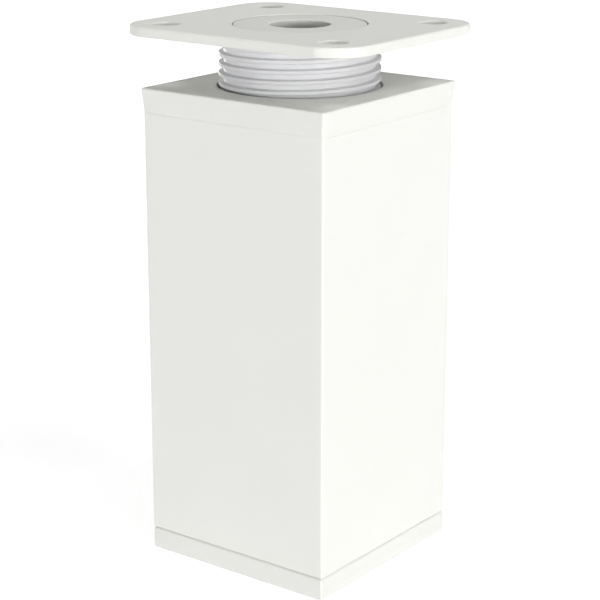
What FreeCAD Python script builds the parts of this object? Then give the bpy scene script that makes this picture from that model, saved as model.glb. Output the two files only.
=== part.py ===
# Adjustable square cabinet leg.
#
# A square white tube stands on a moulded foot cap. A moulded collar is pushed into
# its top end and holds a coarse internal thread. A hollow threaded boss runs in that
# thread and carries a flat mounting plate, so turning the boss raises or lowers the
# plate by one pitch a turn. Millimetres, +Z up, origin at the middle of the foot's
# underside. The boss and plate are drawn part-way up, as the leg was photographed.

import FreeCAD
import Part

import math
import os

UP = FreeCAD.Vector(0, 0, 1)

# Square tube
tube_side = 40.0
tube_wall = 1.2
tube_corner = 1.0
tube_inner_corner = 0.4
tube_length = 80.0

# Moulded caps: each has a visible rim and a skirt pressed into the tube
rim_height = 4.5
skirt_wall = 1.6
skirt_slack = 0.15
skirt_corner = 0.6
grip_rib_width = 1.2
grip_rib_spacing = 11.0
grip_rib_clearance = 0.02
foot_skirt_depth = 12.0
foot_floor = 2.4
foot_edge_ease = 0.8
foot_web = 1.4
foot_web_drop = 3.0
collar_skirt_depth = 14.0
collar_flare = 0.4
collar_edge_ease = 0.3
socket_wall = 2.0

# Adjusting thread: right-hand, single start, squarish ridges with flats between
thread_outer = 29.3
thread_pitch = 1.8
thread_depth = 0.95
ridge_base = 1.0
ridge_tip = 0.6
ridge_height_at_x = 1.07
thread_facets = 24
thread_clearance = 0.25
nut_length = 8.0
mouth_depth = 1.5
mouth_clearance = 0.35
relief_clearance = 0.5

# Hollow threaded boss, its neck and the head spread over the plate
boss_length = 25.0
boss_wall = 2.7
boss_lead_in = 0.8
neck_diameter = 21.4
neck_wall = 2.0
neck_clearance = 0.08
head_diameter = 24.0
head_gap = 0.25
head_seat_depth = 0.9
head_drop = 0.15
head_float = 0.1
crown_thickness = 0.9
crown_hole = 11.0
crown_hole_round = 0.25

# Mounting plate, with a screw hole at each corner
plate_length = 51.0
plate_width = 43.0
plate_thickness = 1.8
plate_corner = 7.0
plate_edge_ease = 0.5
plate_under_ease = 0.25
plate_gap = 9.2
screw_hole = 5.0
screw_spacing_x = 37.0
screw_spacing_y = 30.0
screw_sink_depth = 0.8

# Heights and radii that follow
tube_top = rim_height + tube_length
collar_top = tube_top + rim_height
plate_bottom = collar_top + plate_gap
plate_top = plate_bottom + plate_thickness
tube_bore = tube_side - 2 * tube_wall
skirt_side = tube_bore - 2 * skirt_slack
outer_radius = thread_outer / 2
root_radius = outer_radius - thread_depth
flank_run = (ridge_base - ridge_tip) / 2 / thread_depth
head_seat = plate_top - head_seat_depth


def rounded_wire(length, width, corner, height):
    """A flat rectangle with rounded corners, as a wire at one height."""
    x = length / 2 - corner
    y = width / 2 - corner
    arcs = []
    for turn, (cx, cy) in enumerate([(x, y), (-x, y), (-x, -y), (x, -y)]):
        centre = FreeCAD.Vector(cx, cy, height)
        arcs.append(Part.makeCircle(corner, centre, UP, turn * 90, turn * 90 + 90))
    edges = []
    for arc, following in zip(arcs, arcs[1:] + arcs[:1]):
        edges.append(arc)
        edges.append(Part.makeLine(arc.Vertexes[-1].Point, following.Vertexes[0].Point))
    return Part.Wire(edges)


def rounded_block(length, width, corner, bottom, top):
    """A block with a rounded-rectangle outline between two heights."""
    face = Part.Face(rounded_wire(length, width, corner, bottom))
    return face.extrude(UP * (top - bottom))


def tapering_block(length, width, corner, levels):
    """A block whose rounded outline grows or shrinks between levels of (height, growth a side)."""
    wires = []
    for height, grow in levels:
        wires.append(rounded_wire(length + 2 * grow, width + 2 * grow, corner + grow, height))
    return Part.makeLoft(wires, True, True)


def bar(radius, bottom, top, x=0.0, y=0.0):
    """An upright round bar."""
    return Part.makeCylinder(radius, top - bottom, FreeCAD.Vector(x, y, bottom))


def taper(bottom_radius, top_radius, bottom, top, x=0.0, y=0.0):
    """An upright round taper."""
    return Part.makeCone(bottom_radius, top_radius, top - bottom, FreeCAD.Vector(x, y, bottom))


def flat_face(points):
    """A flat face with straight sides through the points."""
    return Part.Face(Part.makePolygon(points + points[:1]))


def on_helix(radius, step, height):
    """A point on the thread after so many facet steps round the axis, with the helix's own rise."""
    angle = 2 * math.pi * step / thread_facets
    rise = thread_pitch * step / thread_facets
    return FreeCAD.Vector(radius * math.cos(angle), radius * math.sin(angle), height + rise)


def ridge(grow, bottom, top):
    """The helical ridge, past both heights, in flat facets; grow swells it for the nut's groove."""
    sink = 0.3
    inner = root_radius - sink
    outer = outer_radius + grow
    side_grow = grow * math.hypot(1, flank_run)
    base_half = ridge_base / 2 + sink * flank_run + side_grow
    tip_half = ridge_tip / 2 - grow * flank_run + side_grow
    section = [(inner, -base_half), (outer, -tip_half), (outer, tip_half), (inner, base_half)]
    turns_below = math.ceil((collar_top + ridge_height_at_x - bottom) / thread_pitch) + 1
    start = collar_top + ridge_height_at_x - turns_below * thread_pitch
    steps = math.ceil((top + thread_pitch - start) / thread_pitch * thread_facets)
    rings = []
    for step in range(steps + 1):
        rings.append([on_helix(radius, step, start + height) for radius, height in section])
    faces = [flat_face(rings[0]), flat_face(rings[-1])]
    for here, there in zip(rings, rings[1:]):
        for side in range(len(section)):
            faces.append(flat_face([here[side - 1], here[side], there[side]]))
            faces.append(flat_face([here[side - 1], there[side], there[side - 1]]))
    return Part.Solid(Part.Shell(faces))


def threaded_bar(grow, bottom, top):
    """A long many-sided bar with the ridge round it; with grow it is the tap that cuts the nut."""
    past = 4 * thread_pitch
    rim = []
    for step in range(thread_facets):
        point = on_helix(root_radius + grow, step, 0)
        rim.append(FreeCAD.Vector(point.x, point.y, bottom - past))
    core = flat_face(rim).extrude(UP * (top - bottom + 2 * past))
    return core.fuse(ridge(grow, bottom, top))


def make_square_tube():
    """Drawn square tube, open at both ends."""
    outside = rounded_block(tube_side, tube_side, tube_corner, rim_height, tube_top)
    inside = rounded_block(tube_bore, tube_bore, tube_inner_corner, rim_height - 1, tube_top + 1)
    return outside.cut(inside)


def skirt(bottom, top):
    """The square wall of a cap that goes into the tube, with grip ribs down its sides."""
    wall = rounded_block(skirt_side, skirt_side, skirt_corner, bottom, top)
    rib_reach = tube_bore - 2 * grip_rib_clearance
    for offset in (-grip_rib_spacing, 0.0, grip_rib_spacing):
        for length, width in ((rib_reach, grip_rib_width), (grip_rib_width, rib_reach)):
            rib = Part.makeBox(length, width, top - bottom)
            rib.translate(FreeCAD.Vector(-length / 2, -width / 2, bottom))
            across = FreeCAD.Vector(0, offset, 0) if length > width else FreeCAD.Vector(offset, 0, 0)
            rib.translate(across)
            wall = wall.fuse(rib)
    return wall.removeSplitter()


def make_foot_cap():
    """Foot cap: a solid-looking rim, cored out from above, with a crossed web in the core."""
    skirt_top = rim_height + foot_skirt_depth
    ease = foot_edge_ease
    levels = [(0, -ease), (ease * 0.3, -ease * 0.4), (ease, 0.0), (rim_height, 0.0)]
    rim = tapering_block(tube_side, tube_side, tube_corner, levels)
    cap = rim.fuse(skirt(rim_height, skirt_top))
    core_side = skirt_side - 2 * skirt_wall
    core = rounded_block(core_side, core_side, skirt_corner, foot_floor, skirt_top + 1)
    web_top = skirt_top - foot_web_drop
    web_x = Part.makeBox(core_side, foot_web, web_top - foot_floor)
    web_x.translate(FreeCAD.Vector(-core_side / 2, -foot_web / 2, foot_floor))
    web_y = Part.makeBox(foot_web, core_side, web_top - foot_floor)
    web_y.translate(FreeCAD.Vector(-foot_web / 2, -core_side / 2, foot_floor))
    return cap.cut(core.cut(web_x.fuse(web_y)))


def collar_rim():
    """The collar's visible rim: flush with the tube below, drafted outwards, its top edge eased."""
    edge_start = collar_top - collar_edge_ease
    flare_there = collar_flare * (rim_height - collar_edge_ease) / rim_height
    levels = [(tube_top, 0.0), (edge_start, flare_there), (collar_top, flare_there - collar_edge_ease)]
    return tapering_block(tube_side, tube_side, tube_corner, levels)


def make_top_collar():
    """Collar with the internal thread: a plain mouth, the nut, and a clear bore below it."""
    skirt_bottom = tube_top - collar_skirt_depth
    nut_top = collar_top - mouth_depth
    nut_bottom = nut_top - nut_length
    groove_radius = outer_radius + thread_clearance
    relief_radius = groove_radius + relief_clearance
    core_side = skirt_side - 2 * skirt_wall
    core = rounded_block(core_side, core_side, skirt_corner, skirt_bottom - 1, tube_top)
    socket = bar(relief_radius + socket_wall, skirt_bottom, tube_top)
    collar = collar_rim().fuse(skirt(skirt_bottom, tube_top).cut(core.cut(socket)))
    collar = collar.cut(bar(relief_radius, skirt_bottom - 1, nut_bottom))
    collar = collar.cut(bar(outer_radius + mouth_clearance, nut_top, collar_top + 1))
    return collar.cut(threaded_bar(thread_clearance, nut_bottom, nut_top))


def threaded_blank(bottom, top):
    """A solid bar with the ridge round it, trimmed flat, with a lead-in at its lower end."""
    past = 5 * thread_pitch
    blank = threaded_bar(0.0, bottom, top)
    blank = blank.cut(bar(thread_outer, top, top + past))
    blank = blank.cut(bar(thread_outer, bottom - past, bottom))
    lead_foot = outer_radius - boss_lead_in
    lead_rise = boss_lead_in + 1
    corners = [(lead_foot, 0), (lead_foot + lead_rise, lead_rise), (lead_foot + lead_rise, -1), (lead_foot, -1)]
    section = flat_face([FreeCAD.Vector(radius, 0, bottom + rise) for radius, rise in corners])
    return blank.cut(section.revolve(FreeCAD.Vector(0, 0, 0), UP, 360))


def make_threaded_boss():
    """Hollow threaded boss: neck through the plate, and a head spread into the plate's seat."""
    shoulder = plate_bottom - head_float
    bottom = shoulder - boss_length
    head_top = plate_top - head_drop
    neck_radius = neck_diameter / 2
    boss = threaded_blank(bottom, shoulder)
    boss = boss.fuse(bar(neck_radius, shoulder, head_top))
    boss = boss.fuse(bar(head_diameter / 2, head_seat + head_float, head_top))
    boss = boss.cut(bar(root_radius - boss_wall, bottom - 1, shoulder - boss_wall))
    boss = boss.cut(bar(neck_radius - neck_wall, bottom, head_top - crown_thickness))
    boss = boss.cut(bar(crown_hole / 2, shoulder, head_top + 1))
    soft_rim = crown_hole / 2 + crown_hole_round
    return boss.cut(taper(crown_hole / 2, soft_rim, head_top - crown_hole_round, head_top))


def make_mounting_plate():
    """Pressed plate with rounded rims, a stepped hole for the boss and four screw holes."""
    ease = plate_edge_ease
    under = plate_under_ease
    levels = [(plate_bottom, -under), (plate_bottom + under, 0.0), (plate_top - ease, 0.0)]
    levels += [(plate_top - ease * 0.3, -ease * 0.3), (plate_top, -ease)]
    plate = tapering_block(plate_length, plate_width, plate_corner, levels)
    plate = plate.cut(bar(neck_diameter / 2 + neck_clearance, plate_bottom - 1, plate_top + 1))
    plate = plate.cut(bar(head_diameter / 2 + head_gap, head_seat, plate_top + 1))
    radius = screw_hole / 2
    for x in (-screw_spacing_x / 2, screw_spacing_x / 2):
        for y in (-screw_spacing_y / 2, screw_spacing_y / 2):
            sink_top = plate_bottom + screw_sink_depth
            hole = bar(radius, plate_bottom - 1, plate_top + 1, x, y)
            sink = taper(radius + screw_sink_depth, radius, plate_bottom, sink_top, x, y)
            plate = plate.cut(hole.fuse(sink))
    return plate


def main():
    pieces = {
        "square_tube": make_square_tube(),
        "foot_cap": make_foot_cap(),
        "top_collar": make_top_collar(),
        "threaded_boss": make_threaded_boss(),
        "mounting_plate": make_mounting_plate(),
    }
    os.makedirs("parts", exist_ok=True)
    for name, shape in pieces.items():
        if not shape.isValid() or len(shape.Solids) != 1:
            raise ValueError(name + " is not one sound solid")
        shape.exportStep("parts/" + name + ".step")
        print(name, round(shape.Volume, 1), "mm3", len(shape.Faces), "faces")


main()
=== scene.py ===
# %% [markdown]
# # A square cabinet leg that screws up and down
#
# The leg is a white coated tube with a moulded foot below and a moulded collar on top.
# A hollow threaded boss runs in the collar and carries a flat plate, which is screwed
# under a cabinet. The measured model of it is loaded first and never moved. Each of its
# pieces then gets a finer visible piece, modelled by hand in its place, with the soft
# edges and the finish that the eye reads as coated metal or moulded plastic.

# %% Load the measured model
import math

import bmesh
import bpy
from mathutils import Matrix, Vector


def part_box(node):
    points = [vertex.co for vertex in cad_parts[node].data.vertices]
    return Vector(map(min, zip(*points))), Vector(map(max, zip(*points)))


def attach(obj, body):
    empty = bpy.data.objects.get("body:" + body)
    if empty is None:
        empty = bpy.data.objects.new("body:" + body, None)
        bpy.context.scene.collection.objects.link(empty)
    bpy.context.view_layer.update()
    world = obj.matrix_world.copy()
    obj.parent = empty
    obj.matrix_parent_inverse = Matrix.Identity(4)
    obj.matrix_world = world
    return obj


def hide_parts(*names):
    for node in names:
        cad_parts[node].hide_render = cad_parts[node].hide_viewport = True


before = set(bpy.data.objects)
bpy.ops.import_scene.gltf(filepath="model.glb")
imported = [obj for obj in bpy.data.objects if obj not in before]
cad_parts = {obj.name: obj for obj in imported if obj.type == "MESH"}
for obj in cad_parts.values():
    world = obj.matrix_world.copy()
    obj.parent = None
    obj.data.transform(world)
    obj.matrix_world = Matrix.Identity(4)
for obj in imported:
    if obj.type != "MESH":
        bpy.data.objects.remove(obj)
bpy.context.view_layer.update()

MM = 0.001
tube_low, tube_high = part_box("square_tube")
foot_low, foot_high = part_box("foot_cap")
collar_low, collar_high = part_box("top_collar")
boss_low, boss_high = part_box("threaded_boss")
plate_low, plate_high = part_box("mounting_plate")

# %% [markdown]
# ## Camera
# The picture was taken a little from above with one corner of the tube to the front, the
# narrow side of the plate to the right. A long lens keeps the upright edges nearly
# parallel. The camera could be turned by a constraint, but it is placed by the two angles
# it looks along, a point on the leg's axis that it aims at, and its distance, because
# those are what a photographer sets.

# %% Set the camera
look_from_side = math.radians(37.12)
look_from_above = math.radians(16.45)
aim_height = 48.4 * MM
camera_distance = 341.3 * MM
nearest_shown = 10 * MM
lens_length = 109.8
sensor_width = 36.0

back = Vector((
    math.sin(look_from_side) * math.cos(look_from_above),
    -math.cos(look_from_side) * math.cos(look_from_above),
    math.sin(look_from_above),
))
camera_data = bpy.data.cameras.new("camera")
camera_data.lens = lens_length
camera_data.sensor_width = sensor_width
camera_data.clip_start = nearest_shown
camera = bpy.data.objects.new("camera", camera_data)
camera.location = Vector((0, 0, aim_height)) + back * camera_distance
camera.rotation_euler = (math.pi / 2 - look_from_above, 0, look_from_side)
bpy.context.scene.collection.objects.link(camera)
bpy.context.scene.camera = camera
print("camera stands at", [round(value, 4) for value in camera.location])

# %% [markdown]
# ## Working as by hand
# Every piece below starts from a simple shape that is added at its real size and place,
# and is then changed in edit mode. An operator acts on all that is selected, so these
# helpers deselect everything first. A new shape's place and size go into its mesh at
# once, because a finished piece's object stays at the origin.

# %% Helpers that take and add shapes
turn_steps = 96


def take(piece):
    """Make one object the only selected and active one."""
    bpy.ops.object.select_all(action="DESELECT")
    piece.select_set(True)
    bpy.context.view_layer.objects.active = piece


def settle(name):
    """Move the new shape's place and size into its mesh, and name it."""
    bpy.ops.object.transform_apply(location=True, rotation=True, scale=True)
    bpy.context.object.name = name
    return bpy.context.object


def add_block(name, low, high):
    """A box from one corner to the other."""
    bpy.ops.object.select_all(action="DESELECT")
    middle = (Vector(low) + Vector(high)) / 2
    bpy.ops.mesh.primitive_cube_add(size=1, location=middle, scale=Vector(high) - Vector(low))
    return settle(name)


def add_bar(name, radius, bottom, top):
    """A round bar that stands on the leg's axis."""
    bpy.ops.object.select_all(action="DESELECT")
    bpy.ops.mesh.primitive_cylinder_add(vertices=turn_steps, radius=radius, depth=top - bottom,
                                        location=(0, 0, (bottom + top) / 2))
    return settle(name)


print("a turned shape has", turn_steps, "sides")

# %% [markdown]
# ## Picking by place
# By hand, one would click on edges and faces. A script picks them by where they lie or
# which way they face, and that still holds when a size changes. Places that come out of
# a calculation are never quite equal, so each test allows a hair's breadth. The other
# three numbers are upright parts of a direction, from 0 to 1: above the first a face
# counts as level, below the second as steep, and above the third an edge as upright.

# %% Helpers that pick edges and faces
NEAR = 0.01 * MM
LEVEL = 0.9
STEEP = 0.6
PLUMB = 0.99


def pick(mode, test):
    """In edit mode, select only the VERT, EDGE or FACE items that pass a test."""
    bpy.ops.mesh.select_mode(type=mode)
    bpy.ops.mesh.select_all(action="DESELECT")
    shape = bmesh.from_edit_mesh(bpy.context.object.data)
    for item in {"VERT": shape.verts, "EDGE": shape.edges, "FACE": shape.faces}[mode]:
        if test(item):
            item.select_set(True)
    shape.select_flush_mode()
    bmesh.update_edit_mesh(bpy.context.object.data)


def at_height(edge, height):
    """True for an edge that lies at one height."""
    return all(abs(vert.co.z - height) < NEAR for vert in edge.verts)


def open_edge_at(edge, height):
    """True for an edge with a face on one side only, at one height."""
    return len(edge.link_faces) == 1 and at_height(edge, height)


def rim_at(edge, height):
    """True for an edge at one height where a steep face meets a flatter one."""
    if not at_height(edge, height) or len(edge.link_faces) < 2:
        return False
    levels = [abs(face.normal.z) for face in edge.link_faces]
    return min(levels) < STEEP < max(levels)


def upright(edge):
    """True for an edge that runs straight up."""
    along = edge.verts[1].co - edge.verts[0].co
    return abs(along.z) > PLUMB * along.length


print("places within", round(NEAR / MM, 3), "mm count as the same")

# %% [markdown]
# ## Rounding, joining and shading
# A bevel rounds the picked edges. A boolean joins two closed shapes or cuts one with the
# other, and the exact solver is chosen because many faces here lie in one plane. At the
# end a piece is shaded smooth across its small rounds only. Weighted normals keep its
# large faces flat, so that just the rounds catch the light, as on the real leg.

# %% Helpers that round, join and shade
smooth_below = math.radians(35)


def soften(test, radius, segments=3):
    """Round the picked edges."""
    pick("EDGE", test)
    bpy.ops.mesh.bevel(offset=radius, segments=segments, affect="EDGES")


def combine(piece, other, operation):
    """Join another closed shape to a piece or cut it away, and remove that shape."""
    take(piece)
    step = piece.modifiers.new("step", "BOOLEAN")
    step.operation = operation
    step.solver = "EXACT"
    step.object = other
    bpy.ops.object.modifier_apply(modifier=step.name)
    bpy.data.objects.remove(other)


def finish_surface(piece, keep_flats=True):
    """Smooth the rounded edges while the flat faces stay flat, and report the piece."""
    take(piece)
    bpy.ops.object.shade_smooth_by_angle(angle=smooth_below)
    if keep_flats:
        flats = piece.modifiers.new("flats", "WEIGHTED_NORMAL")
        flats.keep_sharp = True
        bpy.ops.object.modifier_apply(modifier=flats.name)
    triangles = sum(len(face.vertices) - 2 for face in piece.data.polygons)
    print(piece.name, triangles, "triangles")


# %% [markdown]
# ## The tube
# The tube is drawn or rolled square with tight corners, cut to length, deburred and then
# coated white. It could be an outline extruded upwards, but a box with its ends removed
# and a wall added inwards gives the inner and outer corners separately, which matters
# because their radii differ.

# %% Model the tube's walls
tube_wall = 1.2 * MM
half_tube = tube_high.x
half_bore = half_tube - tube_wall

tube = add_block("coated_tube", tube_low, tube_high)
bpy.ops.object.mode_set(mode="EDIT")
pick("FACE", lambda face: abs(face.normal.z) > LEVEL)
bpy.ops.mesh.delete(type="ONLY_FACE")
bpy.ops.object.mode_set(mode="OBJECT")
wall = tube.modifiers.new("wall", "SOLIDIFY")
wall.thickness = tube_wall
wall.offset = -1
wall.use_even_offset = True
bpy.ops.object.modifier_apply(modifier=wall.name)
print("tube's bore in mm:", round(2 * half_bore / MM, 2))

# %% [markdown]
# ## The tube's edges
# Down the front corner the picture goes from the left face's grey to the right face's
# white within about half a millimetre, so the four upright corners are tight. The cut
# ends get a very small round, which is what draws the seam lines against the foot and the
# collar. The lower end's is larger because the real leg's lower seam is much the darker
# of the two. A line painted by the material would be simpler, but it would look right
# under one light only, so the edges themselves are rounded.

# %% Round the tube's edges
tube_corner = 0.4 * MM
tube_inner_corner = 0.3 * MM
tube_low_end_round = 0.34 * MM
tube_high_end_round = 0.06 * MM


def tube_edge(edge, half):
    """True for an upright edge at a corner of a square of that half width."""
    place = edge.verts[0].co
    return upright(edge) and all(abs(abs(value) - half) < NEAR for value in (place.x, place.y))


bpy.ops.object.mode_set(mode="EDIT")
soften(lambda edge: tube_edge(edge, half_tube), tube_corner, segments=6)
soften(lambda edge: tube_edge(edge, half_bore), tube_inner_corner)
soften(lambda edge: rim_at(edge, tube_low.z), tube_low_end_round)
soften(lambda edge: rim_at(edge, tube_high.z), tube_high_end_round)
bpy.ops.object.mode_set(mode="OBJECT")
finish_surface(tube)

# %% [markdown]
# ## A moulded cap's skirt
# The foot and the collar are each one moulding: a rim that shows, and a thinner skirt
# that is pressed into the tube and held by small ribs. The skirt could be inset and
# extruded from the rim's inner face, but an inset that is wider than the corner's radius
# folds the face there. So the rim is finished first, and the skirt and its ribs are
# joined on. All of this is hidden in the tube, but it is what holds the leg together.

# %% Helpers for the two mouldings
skirt_wall = 1.6 * MM
skirt_slack = 0.15 * MM
skirt_corner = 0.6 * MM
grip_rib_width = 1.2 * MM
grip_rib_spacing = 11.0 * MM
grip_rib_clearance = 0.02 * MM
into_rim = 1.0 * MM
half_skirt = half_bore - skirt_slack
half_core = half_skirt - skirt_wall


def corner_line(edge):
    """True for an edge that runs down a square block's corner, straight or round a rim."""
    rises = abs(edge.verts[0].co.z - edge.verts[1].co.z) > NEAR / 10
    return rises and all(abs(abs(vert.co.x) - abs(vert.co.y)) < NEAR for vert in edge.verts)


def join_skirt(piece, bottom, top):
    """Join the square block of a cap's skirt, with its rounded corners."""
    block = add_block("skirt", (-half_skirt, -half_skirt, bottom), (half_skirt, half_skirt, top))
    bpy.ops.object.mode_set(mode="EDIT")
    soften(upright, skirt_corner)
    bpy.ops.object.mode_set(mode="OBJECT")
    combine(piece, block, "UNION")


def add_grip_ribs(piece, bottom, top):
    """Join the upright ribs that press on the tube's wall, three on each side."""
    reach = half_bore - grip_rib_clearance
    half = grip_rib_width / 2
    root = half_skirt - skirt_wall / 2
    for place in (-grip_rib_spacing, 0.0, grip_rib_spacing):
        for side in (-1, 1):
            near, far = sorted((side * root, side * reach))
            rib = add_block("rib", (near, place - half, bottom), (far, place + half, top))
            combine(piece, rib, "UNION")
            rib = add_block("rib", (place - half, near, bottom), (place + half, far, top))
            combine(piece, rib, "UNION")


print("skirt's width in mm:", round(2 * half_skirt / MM, 2))

# %% [markdown]
# ## The foot
# Only the foot's rim shows, flush with the tube, with its lower edges rounded over so
# that they do not catch on the floor. It could be a plain block, but its two rounds are
# what the eye reads as a separate moulding: the upper one makes the seam's shadow, the
# lower one lifts the edge off the floor.

# %% Model the foot's rim and skirt
foot_edge_round = 0.8 * MM
foot_seam_round = 0.5 * MM

foot = add_block("moulded_foot", foot_low, (foot_high.x, foot_high.y, tube_low.z))
bpy.ops.object.mode_set(mode="EDIT")
soften(lambda edge: rim_at(edge, foot_low.z), foot_edge_round, segments=4)
soften(lambda edge: rim_at(edge, tube_low.z), foot_seam_round)
soften(corner_line, tube_corner, segments=6)
bpy.ops.object.mode_set(mode="OBJECT")
join_skirt(foot, tube_low.z - into_rim, foot_high.z)
add_grip_ribs(foot, tube_low.z - into_rim / 2, foot_high.z)
print("foot's rim in mm:", round((tube_low.z - foot_low.z) / MM, 2))

# %% [markdown]
# ## The foot's inside
# Inside, the foot is cored out from above and a crossed web stiffens the core. The web
# could be two walls that are joined on, but the core is cut as four square wells, which
# leaves the web standing, the same way that the mould's four pins leave it.

# %% Cut the foot's wells
foot_floor = 2.4 * MM
foot_web = 1.4 * MM
foot_web_drop = 3.0 * MM
past = 1 * MM
web_top = foot_high.z - foot_web_drop
quarters = [(x, y) for x in (-1, 1) for y in (-1, 1)]

top_well = add_block("well", (-half_core, -half_core, web_top),
                     (half_core, half_core, foot_high.z + past))
combine(foot, top_well, "DIFFERENCE")
for side_x, side_y in quarters:
    left, right = sorted((side_x * foot_web / 2, side_x * half_core))
    front, rear = sorted((side_y * foot_web / 2, side_y * half_core))
    well = add_block("well", (left, front, foot_floor), (right, rear, web_top + past))
    combine(foot, well, "DIFFERENCE")
finish_surface(foot)

# %% [markdown]
# ## Turned shapes
# The head, the mouth and the holes are round, so each is an outline turned about the
# upright axis. A cylinder could be bevelled instead, but an outline shows every step and
# round of the real piece in one place. It is drawn as by hand: a point is extruded to
# the next, some corners are rounded as points, and the whole is spun.

# %% Helpers for outlines and turned shapes
merge_within = 0.001 * MM


def draw_outline(name, points):
    """An open outline in the plane y = 0, drawn from point to point as (radius, height)."""
    bpy.ops.object.select_all(action="DESELECT")
    first = Vector((points[0][0], 0, points[0][1]))
    bpy.ops.mesh.primitive_plane_add(size=MM, location=first)
    outline = settle(name)
    bpy.ops.object.mode_set(mode="EDIT")
    bpy.ops.mesh.select_mode(type="VERT")
    bpy.ops.mesh.select_all(action="SELECT")
    bpy.ops.mesh.merge(type="CENTER")
    for here, there in zip(points, points[1:]):
        step = (there[0] - here[0], 0, there[1] - here[1])
        bpy.ops.mesh.extrude_vertices_move(TRANSFORM_OT_translate={"value": step})
    bpy.ops.object.mode_set(mode="OBJECT")
    return outline


def round_points(points, radius, segments=3):
    """In edit mode, round some of an outline's corners."""
    places = [Vector((x, 0, z)) for x, z in points]
    pick("VERT", lambda vert: any((vert.co - place).length < NEAR for place in places))
    bpy.ops.mesh.bevel(offset=radius, segments=segments, affect="VERTICES")


def turn_round(piece):
    """Spin an outline once round the upright axis."""
    take(piece)
    bpy.ops.object.mode_set(mode="EDIT")
    bpy.ops.mesh.select_all(action="SELECT")
    bpy.ops.mesh.spin(steps=turn_steps, angle=2 * math.pi, center=(0, 0, 0), axis=(0, 0, 1))
    bpy.ops.mesh.select_all(action="SELECT")
    bpy.ops.mesh.remove_doubles(threshold=merge_within)
    bpy.ops.object.mode_set(mode="OBJECT")


def add_turned_tool(name, points, rounded, radius, x=0.0, y=0.0):
    """A closed turned shape to cut with, whose outline starts and ends on its own axis."""
    tool = draw_outline(name, points)
    bpy.ops.object.mode_set(mode="EDIT")
    round_points(rounded, radius, segments=5)
    bpy.ops.object.mode_set(mode="OBJECT")
    turn_round(tool)
    bpy.ops.object.mode_set(mode="EDIT")
    bpy.ops.mesh.select_all(action="SELECT")
    bpy.ops.mesh.normals_make_consistent(inside=False)
    bpy.ops.transform.translate(value=(x, y, 0))
    bpy.ops.object.mode_set(mode="OBJECT")
    return tool


print("points within", round(merge_within / MM, 4), "mm are merged after a spin")

# %% [markdown]
# ## The screw thread
# A thread is one small outline swept round the axis while it climbs. The outline of one
# pitch is drawn first: a flat, a squarish ridge with rounded corners, and a flat. It
# could be spun in short steps by hand, but a Screw modifier turns it with the pitch as
# its climb. It is swept a turn or more too long at each end and cut level by bisecting.
# The same steps with a slightly fatter outline make the tap that cuts the collar's
# thread, so the two run in one another freely.

# %% A helper that sweeps a thread
thread_pitch = 1.8 * MM
thread_depth = 0.95 * MM
ridge_base = 1.0 * MM
ridge_tip = 0.6 * MM
ridge_rise = 1.07 * MM
ridge_round = 0.08 * MM


def add_thread(name, root, crest, base, tip, middle, bottom, top):
    """A right-hand thread cut level at both heights, with open ends."""
    turns_below = math.ceil((middle - bottom) / thread_pitch) + 1
    turns = math.ceil((top - bottom) / thread_pitch) + 3
    low = middle - turns_below * thread_pitch
    corners = [(root, low - base / 2), (crest, low - tip / 2),
               (crest, low + tip / 2), (root, low + base / 2)]
    ends = [(root, low - thread_pitch / 2), (root, low + thread_pitch / 2)]
    thread = draw_outline(name, [ends[0]] + corners + [ends[1]])
    bpy.ops.object.mode_set(mode="EDIT")
    round_points(corners, ridge_round)
    bpy.ops.object.mode_set(mode="OBJECT")
    screw = thread.modifiers.new("screw", "SCREW")
    screw.axis = "Z"
    screw.screw_offset = thread_pitch
    screw.iterations = turns
    screw.steps = turn_steps
    screw.render_steps = turn_steps
    screw.use_merge_vertices = True
    screw.merge_threshold = merge_within
    bpy.ops.object.modifier_apply(modifier=screw.name)
    bpy.ops.object.mode_set(mode="EDIT")
    for height, up in ((bottom, -1), (top, 1)):
        bpy.ops.mesh.select_all(action="SELECT")
        bpy.ops.mesh.bisect(plane_co=(0, 0, height), plane_no=(0, 0, up), clear_outer=True,
                            threshold=merge_within / 10)
    bpy.ops.mesh.select_all(action="SELECT")
    bpy.ops.mesh.remove_doubles(threshold=merge_within / 2)
    bpy.ops.object.mode_set(mode="OBJECT")
    return thread


print("thread's pitch in mm:", round(thread_pitch / MM, 2))

# %% [markdown]
# ## The threaded boss: its thread
# The boss is one hollow moulding, and its thread runs nearly its whole length. The
# thread is swept by itself. At its lower end the open edge is extruded and drawn in, as
# the lead-in that lets the screw start. A plain cone would be simpler, but the ridge has
# to fall away almost to the root at once, so that its straight end stays clear of the
# collar's thread when the leg is screwed right out.

# %% Sweep the boss's thread
lead_in = 0.8 * MM
head_float = 0.1 * MM
crest_radius = boss_high.x
root_radius = crest_radius - thread_depth
shoulder = plate_low.z - head_float
thread_start = boss_low.z + lead_in
ridge_middle = collar_high.z + ridge_rise
ridge_end = 0.16 * MM
ridge_stub = 0.1 * MM

boss = add_thread("threaded_boss_moulding", root_radius, crest_radius, ridge_base, ridge_tip,
                  ridge_middle, thread_start, shoulder)
bpy.ops.object.mode_set(mode="EDIT")
pick("EDGE", lambda edge: open_edge_at(edge, thread_start))
end_radius = crest_radius
for drop, radius in ((ridge_end, root_radius + ridge_stub), (lead_in - ridge_end, root_radius)):
    bpy.ops.mesh.extrude_region_move(TRANSFORM_OT_translate={"value": (0, 0, -drop)})
    shrink = radius / end_radius
    bpy.ops.transform.resize(value=(shrink, shrink, 1), center_override=(0, 0, boss_low.z))
    end_radius = radius
bpy.ops.object.mode_set(mode="OBJECT")
print("thread's length in mm:", round((shoulder - thread_start) / MM, 2))

# %% [markdown]
# ## The threaded boss: its head and hollow
# Above the thread a neck passes the plate, and the head is spread into the plate's seat.
# The neck, the head, the crown's hole and the hollow could be cut one by one, but they
# are one outline that is spun, because that gives every wall its real thickness at once.
# The core and the thread are then bridged at the shoulder and at the lower end.

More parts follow.
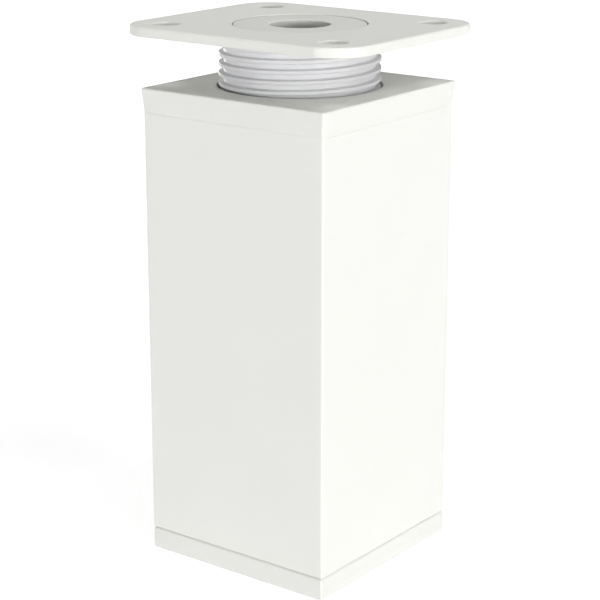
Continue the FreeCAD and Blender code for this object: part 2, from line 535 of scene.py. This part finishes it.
# %% Turn the boss's core and join it to the thread
boss_wall = 2.7 * MM
neck_radius = 10.7 * MM
neck_wall = 2.0 * MM
head_seat_depth = 0.9 * MM
head_radius = 12.0 * MM
head_round = 0.12 * MM
crown_thickness = 2.2 * MM
crown_hole_radius = 5.5 * MM
crown_hole_round = 0.25 * MM
head_under = plate_high.z - head_seat_depth + head_float
crown_under = boss_high.z - crown_thickness
neck_bore = neck_radius - neck_wall
bore_radius = root_radius - boss_wall
bore_top = shoulder - boss_wall
head_corner = (head_radius, boss_high.z)
crown_corner = (crown_hole_radius, boss_high.z)

core = draw_outline("boss_core", [
    (neck_radius, shoulder), (neck_radius, head_under), (head_radius, head_under), head_corner,
    crown_corner, (crown_hole_radius, crown_under), (neck_bore, crown_under),
    (neck_bore, bore_top), (bore_radius, bore_top), (bore_radius, boss_low.z),
])
bpy.ops.object.mode_set(mode="EDIT")
round_points([head_corner], head_round)
round_points([crown_corner], crown_hole_round, segments=4)
bpy.ops.object.mode_set(mode="OBJECT")
turn_round(core)
take(boss)
core.select_set(True)
bpy.ops.object.join()
bpy.ops.object.mode_set(mode="EDIT")
for height in (shoulder, boss_low.z):
    pick("EDGE", lambda edge: open_edge_at(edge, height))
    bpy.ops.mesh.bridge_edge_loops()
bpy.ops.mesh.select_all(action="SELECT")
bpy.ops.mesh.normals_make_consistent(inside=False)
bpy.ops.object.mode_set(mode="OBJECT")
finish_surface(boss, keep_flats=False)

# %% [markdown]
# ## The collar: its rim and skirt
# The collar's rim leans out a little towards the top, so its top outline is wider than
# the tube, and its edges are softened. The rim could be lofted between two squares, but
# a block whose top face is scaled is the same shape in one step. Its lower edge has
# hardly any round, because the real seam there is very faint.

# %% Model the collar's rim and skirt
collar_edge_round = 0.3 * MM
collar_seam_round = 0.06 * MM
flare = collar_high.x / half_tube

collar = add_block("moulded_collar", (-half_tube, -half_tube, tube_high.z),
                   (half_tube, half_tube, collar_high.z))
bpy.ops.object.mode_set(mode="EDIT")
pick("FACE", lambda face: face.normal.z > LEVEL)
bpy.ops.transform.resize(value=(flare, flare, 1), center_override=(0, 0, collar_high.z))
soften(lambda edge: rim_at(edge, collar_high.z), collar_edge_round, segments=4)
soften(lambda edge: rim_at(edge, tube_high.z), collar_seam_round)
soften(corner_line, tube_corner, segments=6)
bpy.ops.object.mode_set(mode="OBJECT")
join_skirt(collar, collar_low.z, tube_high.z + into_rim)
add_grip_ribs(collar, collar_low.z, tube_high.z + into_rim / 2)
print("collar's top in mm:", round(2 * collar_high.x / MM, 2))

# %% [markdown]
# ## The collar: its socket and thread
# The threaded socket stands in the skirt, with a pocket in each corner where the mould
# was cored. So the core that is cut away is a square block with a round bar left out of
# it. The thread could be modelled on the inside, but it is cut with a tap, as in a
# workshop. The tap has the boss's own outline plus its running clearance, between a
# plain mouth above and a wider relief below.

# %% Core the collar and tap its thread
socket_wall = 2.0 * MM
mouth_edge_round = 0.15 * MM
mouth_depth = 1.5 * MM
mouth_clearance = 0.35 * MM
nut_length = 8.0 * MM
thread_clearance = 0.25 * MM
relief_clearance = 0.5 * MM
mouth_radius = crest_radius + mouth_clearance
mouth_rim = mouth_radius + mouth_edge_round
groove_radius = crest_radius + thread_clearance
relief_radius = groove_radius + relief_clearance
nut_top = collar_high.z - mouth_depth
nut_bottom = nut_top - nut_length
groove_widen = 2 * thread_clearance
tap_ends = (nut_bottom - past / 2, nut_top + past / 2)
mouth_corner = (mouth_radius, collar_high.z)

core = add_block("core", (-half_core, -half_core, collar_low.z - past),
                 (half_core, half_core, tube_high.z))
socket = add_bar("socket", relief_radius + socket_wall, collar_low.z - 2 * past,
                 tube_high.z + past)
combine(core, socket, "DIFFERENCE")
combine(collar, core, "DIFFERENCE")
relief = add_bar("relief", relief_radius, collar_low.z - past, nut_bottom)
combine(collar, relief, "DIFFERENCE")
mouth = add_turned_tool("mouth", [
    (0, nut_top), (mouth_radius, nut_top), mouth_corner, (mouth_rim, collar_high.z),
    (mouth_rim, collar_high.z + past), (0, collar_high.z + past),
], [mouth_corner], mouth_edge_round)
combine(collar, mouth, "DIFFERENCE")
tap = add_thread("tap", root_radius + thread_clearance, groove_radius, ridge_base + groove_widen,
                 ridge_tip + groove_widen, ridge_middle, *tap_ends)
bpy.ops.object.mode_set(mode="EDIT")
for height in tap_ends:
    pick("EDGE", lambda edge: open_edge_at(edge, height))
    bpy.ops.mesh.edge_face_add()
bpy.ops.mesh.select_all(action="SELECT")
bpy.ops.mesh.normals_make_consistent(inside=False)
bpy.ops.object.mode_set(mode="OBJECT")
combine(collar, tap, "DIFFERENCE")
finish_surface(collar)

# %% [markdown]
# ## The mounting plate: its blank and seat
# The plate is a stamping with generous corners, and a wide shallow seat for the boss's
# head. It starts as a box whose upright edges and then its rims are rounded. Its holes
# could be cut straight and their edges bevelled afterwards, but a bevel beside holes cut
# in one flat face can fold that face over. So each is cut by a turned tool that already
# has the round which the coating leaves at the edge.

# %% Model the plate's blank and seat
plate_corner = 7.0 * MM
plate_edge_round = 0.5 * MM
plate_under_round = 0.25 * MM
seat_edge_round = 0.2 * MM
neck_clearance = 0.08 * MM
head_gap = 0.25 * MM
seat_radius = head_radius + head_gap
seat_rim = seat_radius + seat_edge_round
seat_height = plate_high.z - head_seat_depth
neck_hole_radius = neck_radius + neck_clearance
above = plate_high.z + past
below = plate_low.z - past
seat_corner = (seat_radius, plate_high.z)

plate = add_block("pressed_plate", plate_low, plate_high)
bpy.ops.object.mode_set(mode="EDIT")
soften(upright, plate_corner, segments=12)
soften(lambda edge: rim_at(edge, plate_high.z), plate_edge_round, segments=4)
soften(lambda edge: rim_at(edge, plate_low.z), plate_under_round, segments=2)
bpy.ops.object.mode_set(mode="OBJECT")
seat = add_turned_tool("seat", [
    (0, below), (neck_hole_radius, below), (neck_hole_radius, seat_height),
    (seat_radius, seat_height), seat_corner, (seat_rim, plate_high.z), (seat_rim, above),
    (0, above),
], [seat_corner], seat_edge_round)
combine(plate, seat, "DIFFERENCE")
print("plate's thickness in mm:", round((plate_high.z - plate_low.z) / MM, 2))

# %% [markdown]
# ## The mounting plate: its screw holes
# Four wood screws go up through the plate into the cabinet, so the countersinks are on
# the underside. One hole could be mirrored, but the tool is placed four times, each with
# its own mesh. It has the countersink below and the soft upper edge in one outline, as a
# real countersink bit has its own shape.

# %% Cut the plate's screw holes
screw_hole_radius = 2.5 * MM
screw_spacing = Vector((37.0, 30.0)) * MM
screw_sink_depth = 0.8 * MM
hole_edge_round = 0.4 * MM
hole_rim = screw_hole_radius + hole_edge_round
hole_corner = (screw_hole_radius, plate_high.z)
sink_foot = screw_hole_radius + screw_sink_depth + past

for side_x, side_y in quarters:
    hole = add_turned_tool("hole", [
        (0, below), (sink_foot, below), (screw_hole_radius, plate_low.z + screw_sink_depth),
        hole_corner, (hole_rim, plate_high.z), (hole_rim, above), (0, above),
    ], [hole_corner], hole_edge_round, side_x * screw_spacing.x / 2, side_y * screw_spacing.y / 2)
    combine(plate, hole, "DIFFERENCE")
finish_surface(plate)

# %% [markdown]
# ## Join the pieces to the model
# Each visible piece stands for one measured piece and rides on the same body. The boss
# turns and climbs, the plate climbs with it, and the rest stays with the tube. Each piece
# is parented to an empty named for its body, and the measured piece is hidden.

# %% Ride and replace
for piece, node, body, slot in (
    (tube, "square_tube", "leg_body", "coated_tube"),
    (foot, "foot_cap", "leg_body", "foot_plastic"),
    (collar, "top_collar", "leg_body", "collar_plastic"),
    (boss, "threaded_boss", "boss", "boss_plastic"),
    (plate, "mounting_plate", "plate", "coated_plate"),
):
    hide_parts(node)
    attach(piece, body)
    print(piece.name, "rides on", body)

# %% [markdown]
# ## Colours and nodes
# Colours are written as a designer reads them, as sRGB hex values, and turned to the
# linear values that the shader works in by one function. Another small function adds a
# node with its settings and its links, which keeps each material's own lines short.

# %% Helpers for materials
def linear(hex_colour):
    """The linear colour of an sRGB hex value."""
    channels = [int(hex_colour[place:place + 2], 16) / 255 for place in (1, 3, 5)]
    return [c / 12.92 if c <= 0.04045 else ((c + 0.055) / 1.055) ** 2.4 for c in channels] + [1.0]


def add_node(tree, kind, inputs=None, **settings):
    """Add a node, set its own settings, and fill its inputs with values or links."""
    made = tree.nodes.new(kind)
    for name, value in settings.items():
        setattr(made, name, value)
    for name, value in (inputs or {}).items():
        if isinstance(value, bpy.types.NodeSocket):
            tree.links.new(value, made.inputs[name])
        else:
            made.inputs[name].default_value = value
    return made


def new_material(name):
    """An empty material with its output and the place on the object to read patterns from."""
    material = bpy.data.materials.new(name)
    material.use_nodes = True
    tree = material.node_tree
    tree.nodes.clear()
    output = add_node(tree, "ShaderNodeOutputMaterial")
    place = add_node(tree, "ShaderNodeTexCoord").outputs["Object"]
    return material, tree, output, place


def per_metre(millimetres):
    """A noise texture's scale for blobs of that size, on coordinates in metres."""
    return 1 / (millimetres * MM)


print("a white of #f1f2ed is", [round(value, 3) for value in linear("#f1f2ed")[:3]], "in light")

# %% [markdown]
# ## White powder coat
# The tube and the plate are steel with a white powder coat. The powder melts into a film
# that is not quite flat. One colour and one roughness would look like paper, so a noise
# about a millimetre and a half wide gives the coat's orange peel, and with it highlights
# that are soft and a little broken. A second, wide noise lets the white drift by a shade,
# as a coat's thickness does. The coat is a dielectric, so it is not metallic, with an IOR
# of 1.5 and a satin roughness.

# %% White powder coat
def powder_coat(name, hex_colour, hex_shade):
    """Satin white coat with orange peel, as on coated steel."""
    material, tree, output, place = new_material(name)
    drift = add_node(tree, "ShaderNodeTexNoise", {
        "Vector": place, "Scale": per_metre(18), "Detail": 2.0, "Roughness": 0.5})
    colour = add_node(tree, "ShaderNodeMix", {
        0: drift.outputs["Fac"], 6: linear(hex_colour), 7: linear(hex_shade)}, data_type="RGBA")
    peel = add_node(tree, "ShaderNodeTexNoise", {
        "Vector": place, "Scale": per_metre(1.5), "Detail": 1.5, "Roughness": 0.4})
    gloss = add_node(tree, "ShaderNodeMapRange", {
        "Value": peel.outputs["Fac"], "To Min": 0.36, "To Max": 0.46})
    relief = add_node(tree, "ShaderNodeBump", {
        "Height": peel.outputs["Fac"], "Strength": 0.25, "Distance": 0.04 * MM})
    coat = add_node(tree, "ShaderNodeBsdfPrincipled", {
        "Base Color": colour.outputs[2], "Roughness": gloss.outputs["Result"], "IOR": 1.5,
        "Normal": relief.outputs["Normal"]})
    tree.links.new(coat.outputs["BSDF"], output.inputs["Surface"])
    print(name, "with orange peel 1.5 mm wide")
    return material


tube_coat = powder_coat("satin_white_powder_coat_on_tube", "#f1f2ed", "#edeee9")
plate_coat = powder_coat("satin_white_powder_coat_on_plate", "#f0f0eb", "#ecece6")

# %% [markdown]
# ## Moulded white plastic
# The foot, the collar and the boss are injection moulded, most likely polypropylene or
# nylon, coloured through. The mould's spark-eroded wall leaves a fine even grain, here
# drawn at a third of a millimetre because the real one is too fine to show. It could be
# left smooth, but the grain is what looks matter and softer beside the coated tube. The
# boss's thread is painted a cooler, greyer white than its head: the cooler tone is the
# thread's own, and the greyer part is painted shade for the plate's shadow above it.

# %% Moulded white plastic
def moulded_plastic(name, hex_colour, hex_shade, roughness, hex_thread_tone_and_shade=None, tone_and_shade_below=0.0):
    """Matt moulded plastic with the mould's fine grain; below a height, if one is given, a cooler
    tone with painted shade.
    """
    material, tree, output, place = new_material(name)
    drift = add_node(tree, "ShaderNodeTexNoise", {
        "Vector": place, "Scale": per_metre(9), "Detail": 3.0, "Roughness": 0.55})
    colour = add_node(tree, "ShaderNodeMix", {
        0: drift.outputs["Fac"], 6: linear(hex_colour), 7: linear(hex_shade)}, data_type="RGBA")
    # Below the given height the colour turns cooler (its own tone) and greyer (painted shade).
    if hex_thread_tone_and_shade:
        height = add_node(tree, "ShaderNodeSeparateXYZ", {"Vector": place}).outputs["Z"]
        tone_and_shade_mask = add_node(tree, "ShaderNodeMapRange", {
            "Value": height, "From Min": tone_and_shade_below, "From Max": tone_and_shade_below + MM,
            "To Min": 1.0, "To Max": 0.0})
        colour = add_node(tree, "ShaderNodeMix", {
            0: tone_and_shade_mask.outputs["Result"], 6: colour.outputs[2], 7: linear(hex_thread_tone_and_shade)},
            data_type="RGBA")
    grain = add_node(tree, "ShaderNodeTexNoise", {
        "Vector": place, "Scale": per_metre(0.33), "Detail": 2.0, "Roughness": 0.6})
    gloss = add_node(tree, "ShaderNodeMapRange", {
        "Value": grain.outputs["Fac"], "To Min": roughness - 0.06, "To Max": roughness + 0.06})
    relief = add_node(tree, "ShaderNodeBump", {
        "Height": grain.outputs["Fac"], "Strength": 0.2, "Distance": 0.02 * MM})
    plastic = add_node(tree, "ShaderNodeBsdfPrincipled", {
        "Base Color": colour.outputs[2], "Roughness": gloss.outputs["Result"], "IOR": 1.5,
        "Normal": relief.outputs["Normal"]})
    tree.links.new(plastic.outputs["BSDF"], output.inputs["Surface"])
    print(name, "with grain 0.33 mm wide, roughness about", roughness)
    return material


foot_plastic = moulded_plastic("moulded_white_foot_plastic", "#edede9", "#e9e9e5", 0.5)
collar_plastic = moulded_plastic("moulded_white_collar_plastic", "#f0f1ec", "#ecede8", 0.6)
# The thread's colour below the shoulder holds painted shade from the plate as well as its cooler
# tone.
boss_plastic = moulded_plastic("moulded_white_thread_plastic", "#efefea", "#ebebe6", 0.55,
                               hex_thread_tone_and_shade="#d6d6d8", tone_and_shade_below=shoulder)

# %% [markdown]
# ## A finish for each piece
# The whites of the real leg's parts are a few shades apart, which helps the eye to tell
# one part from the next. One shared white would be simpler, but the leg would then look
# cast in one. So each piece gets a material of its own, in place of any it has.

# %% Give each piece its finish
for piece, material in ((tube, tube_coat), (plate, plate_coat), (foot, foot_plastic),
                        (collar, collar_plastic), (boss, boss_plastic)):
    piece.data.materials.clear()
    piece.data.materials.append(material)
    print(piece.name, "is finished in", material.name)

# %% [markdown]
# ## The floor
# The leg stands on a plain white floor. More lamps would make it white, but they would
# wash out the leg too. So the floor gets light of its own that the camera and mirrored
# rays see, more of it where the lamps no longer reach, and the leg's shadow stays on it.
# For the light that falls on the leg, the floor's glow is weak and the same everywhere.

# %% Floor
floor_size = 2.4
floor_near = 0.15
floor_far = 0.5
floor_seen_near = 0.62
floor_seen_far = 0.95
floor_light = 0.22


def rays_that_see(tree):
    """One for camera, glossy and transmission rays, zero for the diffuse ones that light the leg."""
    ray = add_node(tree, "ShaderNodeLightPath").outputs
    seen = add_node(tree, "ShaderNodeMath", {0: ray["Is Camera Ray"], 1: ray["Is Glossy Ray"]},
                    operation="MAXIMUM").outputs[0]
    return add_node(tree, "ShaderNodeMath", {0: seen, 1: ray["Is Transmission Ray"]},
                    operation="MAXIMUM").outputs[0]


bpy.ops.object.select_all(action="DESELECT")
bpy.ops.mesh.primitive_plane_add(size=floor_size, location=(0, 0, 0))
floor = bpy.context.object
floor.name = "studio_floor"
paper, tree, output, place = new_material("white_studio_paper")
matt = add_node(tree, "ShaderNodeBsdfDiffuse", {"Color": linear("#ececec")})
distance = add_node(tree, "ShaderNodeVectorMath", {0: place}, operation="LENGTH")
white = add_node(tree, "ShaderNodeMapRange", {
    "Value": distance.outputs["Value"], "From Min": floor_near, "From Max": floor_far,
    "To Min": floor_seen_near, "To Max": floor_seen_far})
strength = add_node(tree, "ShaderNodeMix", {
    0: rays_that_see(tree), 2: floor_light, 3: white.outputs["Result"]}, data_type="FLOAT")
glow = add_node(tree, "ShaderNodeEmission", {"Strength": strength.outputs[0]})
both = add_node(tree, "ShaderNodeAddShader", {0: matt.outputs[0], 1: glow.outputs[0]})
tree.links.new(both.outputs[0], output.inputs["Surface"])
floor.data.materials.append(paper)
print("floor's side in metres:", floor_size)

# %% [markdown]
# ## The sky
# Behind the floor the picture is white up to its edge. A backdrop could stand there, but
# it would throw light on the leg. A sky that is white only where it is seen does not. To
# the leg it is nearly dark, with a trace of light that fades from the horizon upwards.

# %% Sky
horizon_strength = 0.06
zenith_strength = 0.0
seen_strength = 1.0

world = bpy.data.worlds.new("white_studio")
bpy.context.scene.world = world
world.use_nodes = True
tree = world.node_tree
tree.nodes.clear()
direction = add_node(tree, "ShaderNodeTexCoord")
height = add_node(tree, "ShaderNodeSeparateXYZ", {"Vector": direction.outputs["Generated"]})
tent = add_node(tree, "ShaderNodeMapRange", {
    "Value": height.outputs["Z"], "To Min": horizon_strength, "To Max": zenith_strength})
strength = add_node(tree, "ShaderNodeMix", {
    0: rays_that_see(tree), 2: tent.outputs["Result"], 3: seen_strength}, data_type="FLOAT")
sky = add_node(tree, "ShaderNodeBackground", {
    "Color": linear("#ffffff"), "Strength": strength.outputs[0]})
output = add_node(tree, "ShaderNodeOutputWorld")
tree.links.new(sky.outputs[0], output.inputs["Surface"])
print("sky is", seen_strength, "where seen and", horizon_strength, "at most on the leg")

# %% [markdown]
# ## The lamps
# One large lamp above would be simplest, but the plate would then be brighter than the
# upright faces, and in the picture the faces are the brighter ones. So two low lamps, at
# the left and at the right, light the faces from level with them, and little of their
# light falls on the collar's top. A lamp overhead and one high at the right light the
# plate. A small one, low behind the leg, fills the two faces there from below the
# collar's top, so that none of its light falls straight on that.

# %% Lamps
def add_soft_lamp(name, place, size, watts):
    """A square soft lamp that points at the leg's middle, its place and size in metres."""
    data = bpy.data.lights.new(name, "AREA")
    data.shape = "SQUARE"
    data.size = size
    data.energy = watts
    lamp = bpy.data.objects.new(name, data)
    lamp.location = place
    aim = Vector((0, 0, aim_height)) - Vector(place)
    lamp.rotation_euler = aim.to_track_quat("-Z", "Y").to_euler()
    bpy.context.scene.collection.objects.link(lamp)
    print(name, "gives", watts, "W")


add_soft_lamp("low_left_lamp", (-0.12, -1.12, 0.13), 0.22, 5.2)
add_soft_lamp("low_right_lamp", (1.12, -0.12, 0.13), 0.22, 6.2)
add_soft_lamp("high_right_lamp", (0.72, -0.08, 0.86), 0.6, 3.3)
add_soft_lamp("overhead_lamp", (0.0, 0.0, 1.2), 0.6, 4.3)
add_soft_lamp("back_fill_lamp", (-0.95, 0.6, 0.045), 0.08, 4.2)

# %% [markdown]
# ## Colour management
# The plain Standard view shows a colour about as it is written, where a film-like view
# would grey the whites.

# %% Colour management
bpy.context.scene.view_settings.view_transform = "Standard"
